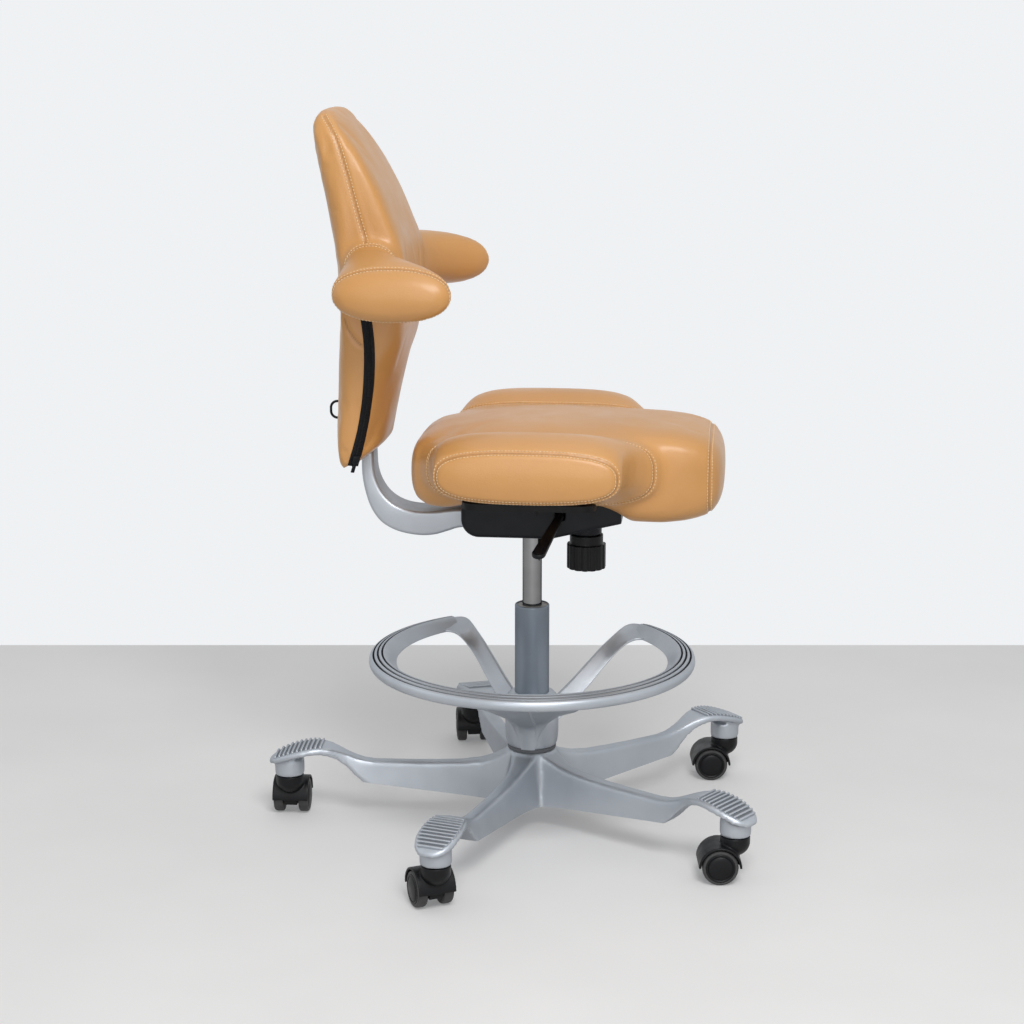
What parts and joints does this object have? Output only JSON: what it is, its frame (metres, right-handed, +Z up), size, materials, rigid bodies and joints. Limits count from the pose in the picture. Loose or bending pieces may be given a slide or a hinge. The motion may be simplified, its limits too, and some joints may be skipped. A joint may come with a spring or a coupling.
{
  "type": "saddle chair",
  "caption": "Saddle-shaped leather work chair with a winged back, a tilting seat mechanism, a gas column with an open foot ring, and a star base on swivelling casters.",
  "frame": {"origin": "on the floor, under the axis of the gas column", "axes": "+X is the sitter's forward, +Y the sitter's left, +Z up"},
  "size_m": [0.7415, 0.7801, 1.037],
  "materials": {
    "tan_leather": "satin",
    "silver_paint": "satin",
    "silver_steel": "satin",
    "black_paint": "satin",
    "black_plastic": "matte",
    "bush_plastic": "matte",
    "chrome": "polished",
    "steel": "satin",
    "rubber_black": "matte",
    "grey_tyre": "matte",
    "zip_tape": "matte"
  },
  "bodies": {
    "base": {"star_base": "silver_paint", "foot_ring": "silver_paint", "ring_gasket": "rubber_black", "column_tube": "silver_steel", "guide_bush": "bush_plastic", "column_end_plate": "steel", "thrust_bearing": "steel", "caster_stems": "steel"},
    "column_rod": {"piston_rod": "steel", "retaining_clip": "steel"},
    "lift": {"gas_cylinder": "chrome", "tilt_block": "black_paint", "pivot_bolts": "black_paint"},
    "release_pin": {"release_pin": "steel"},
    "tilt_frame": {"mechanism_tub": "black_paint", "slide_plate": "black_paint", "back_arm": "silver_paint", "arm_bolts": "steel", "tilt_spring": "steel"},
    "tension_knob": {"tension_knob": "black_plastic", "knob_spindle": "steel"},
    "height_lever": {"height_lever": "black_plastic"},
    "tilt_lock_lever": {"tilt_lock_lever": "black_plastic"},
    "seat": {"seat_cushion": "tan_leather", "seat_pan": "black_plastic", "seat_screws": "steel"},
    "back": {"back_cushion": "tan_leather", "back_shell": "black_plastic", "back_zips": "zip_tape"},
    "release_loop": {"release_loop": "black_paint"},
    "caster_front_left": {"caster_front_left_hood": "black_plastic", "caster_front_left_axle": "steel"},
    "caster_front_left_left_wheel": {"caster_front_left_left_wheel": "black_plastic", "caster_front_left_left_tyre": "grey_tyre"},
    "caster_front_left_right_wheel": {"caster_front_left_right_wheel": "black_plastic", "caster_front_left_right_tyre": "grey_tyre"},
    "caster_left": {"caster_left_hood": "black_plastic", "caster_left_axle": "steel"},
    "caster_left_left_wheel": {"caster_left_left_wheel": "black_plastic", "caster_left_left_tyre": "grey_tyre"},
    "caster_left_right_wheel": {"caster_left_right_wheel": "black_plastic", "caster_left_right_tyre": "grey_tyre"},
    "caster_rear": {"caster_rear_hood": "black_plastic", "caster_rear_axle": "steel"},
    "caster_rear_left_wheel": {"caster_rear_left_wheel": "black_plastic", "caster_rear_left_tyre": "grey_tyre"},
    "caster_rear_right_wheel": {"caster_rear_right_wheel": "black_plastic", "caster_rear_right_tyre": "grey_tyre"},
    "caster_right": {"caster_right_hood": "black_plastic", "caster_right_axle": "steel"},
    "caster_right_left_wheel": {"caster_right_left_wheel": "black_plastic", "caster_right_left_tyre": "grey_tyre"},
    "caster_right_right_wheel": {"caster_right_right_wheel": "black_plastic", "caster_right_right_tyre": "grey_tyre"},
    "caster_front_right": {"caster_front_right_hood": "black_plastic", "caster_front_right_axle": "steel"},
    "caster_front_right_left_wheel": {"caster_front_right_left_wheel": "black_plastic", "caster_front_right_left_tyre": "grey_tyre"},
    "caster_front_right_right_wheel": {"caster_front_right_right_wheel": "black_plastic", "caster_front_right_right_tyre": "grey_tyre"}
  },
  "joints": [
    {"name": "seat_swivel", "type": "hinge", "parent": "base", "child": "column_rod", "pos_m": [0, 0, 0.04], "axis": [0, 0, 1], "continuous": true},
    {"name": "seat_height", "type": "slide", "parent": "column_rod", "child": "lift", "axis": [0, 0, 1], "range_m": [-0.09, 0.11]},
    {"name": "pin_press", "type": "slide", "parent": "lift", "child": "release_pin", "axis": [0, 0, 1], "range_m": [-0.009, 0]},
    {"name": "tilt", "type": "hinge", "parent": "lift", "child": "tilt_frame", "pos_m": [0, 0, 0.48], "axis": [0, -1, 0], "range_deg": [0, 10], "stiffness_Nm_per_rad": 120, "springref_deg": -8.59, "deforming": ["tilt_spring"]},
    {"name": "tension_turn", "type": "hinge", "parent": "tilt_frame", "child": "tension_knob", "pos_m": [0.078, 0, 0.43], "axis": [0, 0, 1], "continuous": true},
    {"name": "height_lever_lift", "type": "hinge", "parent": "tilt_frame", "child": "height_lever", "pos_m": [0.045, -0.058, 0.477], "axis": [-1, 0, 0], "range_deg": [0, 8], "stiffness_Nm_per_rad": 0.6, "springref_deg": -5.73},
    {"name": "tilt_lock_turn", "type": "hinge", "parent": "tilt_frame", "child": "tilt_lock_lever", "pos_m": [0.045, 0.058, 0.477], "axis": [1, 0, 0], "range_deg": [0, 15]},
    {"name": "seat_depth", "type": "slide", "parent": "tilt_frame", "child": "seat", "axis": [1, 0, 0], "range_m": [0, 0.05]},
    {"name": "back_height", "type": "slide", "parent": "tilt_frame", "child": "back", "axis": [-0.0349, 0, 0.9994], "range_m": [0, 0.09]},
    {"name": "loop_pull", "type": "slide", "parent": "back", "child": "release_loop", "axis": [-1, 0, 0], "range_m": [0, 0.008], "stiffness_N_per_m": 200, "springref_m": -0.005},
    {"name": "caster_front_left_swivel", "type": "hinge", "parent": "base", "child": "caster_front_left", "pos_m": [0.28018, 0.22446, 0.055], "axis": [0, 0, 1], "continuous": true},
    {"name": "caster_front_left_left_wheel_roll", "type": "hinge", "parent": "caster_front_left", "child": "caster_front_left_left_wheel", "pos_m": [0.25869, 0.2222, 0.025], "axis": [0.1045, -0.9945, 0], "continuous": true},
    {"name": "caster_front_left_right_wheel_roll", "type": "hinge", "parent": "caster_front_left", "child": "caster_front_left_right_wheel", "pos_m": [0.25869, 0.2222, 0.025], "axis": [0.1045, -0.9945, 0], "continuous": true},
    {"name": "caster_left_swivel", "type": "hinge", "parent": "base", "child": "caster_left", "pos_m": [-0.1269, 0.33582, 0.055], "axis": [0, 0, 1], "continuous": true},
    {"name": "caster_left_left_wheel_roll", "type": "hinge", "parent": "caster_left", "child": "caster_left_left_wheel", "pos_m": [-0.13102, 0.35703, 0.025], "axis": [-0.9816, -0.1908, 0], "continuous": true},
    {"name": "caster_left_right_wheel_roll", "type": "hinge", "parent": "caster_left", "child": "caster_left_right_wheel", "pos_m": [-0.13102, 0.35703, 0.025], "axis": [-0.9816, -0.1908, 0], "continuous": true},
    {"name": "caster_rear_swivel", "type": "hinge", "parent": "base", "child": "caster_rear", "pos_m": [-0.3586, -0.01691, 0.055], "axis": [0, 0, 1], "continuous": true},
    {"name": "caster_rear_left_wheel_roll", "type": "hinge", "parent": "caster_rear", "child": "caster_rear_left_wheel", "pos_m": [-0.35973, 0.00466, 0.025], "axis": [-0.9986, -0.0523, 0], "continuous": true},
    {"name": "caster_rear_right_wheel_roll", "type": "hinge", "parent": "caster_rear", "child": "caster_rear_right_wheel", "pos_m": [-0.35973, 0.00466, 0.025], "axis": [-0.9986, -0.0523, 0], "continuous": true},
    {"name": "caster_right_swivel", "type": "hinge", "parent": "base", "child": "caster_right", "pos_m": [-0.09473, -0.34628, 0.055], "axis": [0, 0, 1], "continuous": true},
    {"name": "caster_right_left_wheel_roll", "type": "hinge", "parent": "caster_right", "child": "caster_right_left_wheel", "pos_m": [-0.10487, -0.3272, 0.025], "axis": [-0.8829, -0.4695, 0], "continuous": true},
    {"name": "caster_right_right_wheel_roll", "type": "hinge", "parent": "caster_right", "child": "caster_right_right_wheel", "pos_m": [-0.10487, -0.3272, 0.025], "axis": [-0.8829, -0.4695, 0], "continuous": true},
    {"name": "caster_front_right_swivel", "type": "hinge", "parent": "base", "child": "caster_front_right", "pos_m": [0.30006, -0.1971, 0.055], "axis": [0, 0, 1], "continuous": true},
    {"name": "caster_front_right_left_wheel_roll", "type": "hinge", "parent": "caster_front_right", "child": "caster_front_right_left_wheel", "pos_m": [0.27857, -0.19936, 0.025], "axis": [0.1045, -0.9945, 0], "continuous": true},
    {"name": "caster_front_right_right_wheel_roll", "type": "hinge", "parent": "caster_front_right", "child": "caster_front_right_right_wheel", "pos_m": [0.27857, -0.19936, 0.025], "axis": [0.1045, -0.9945, 0], "continuous": true}
  ],
  "couplings": [
    {"joint": "pin_press", "follows": "height_lever_lift", "m_per_rad": -0.0609}
  ]
}
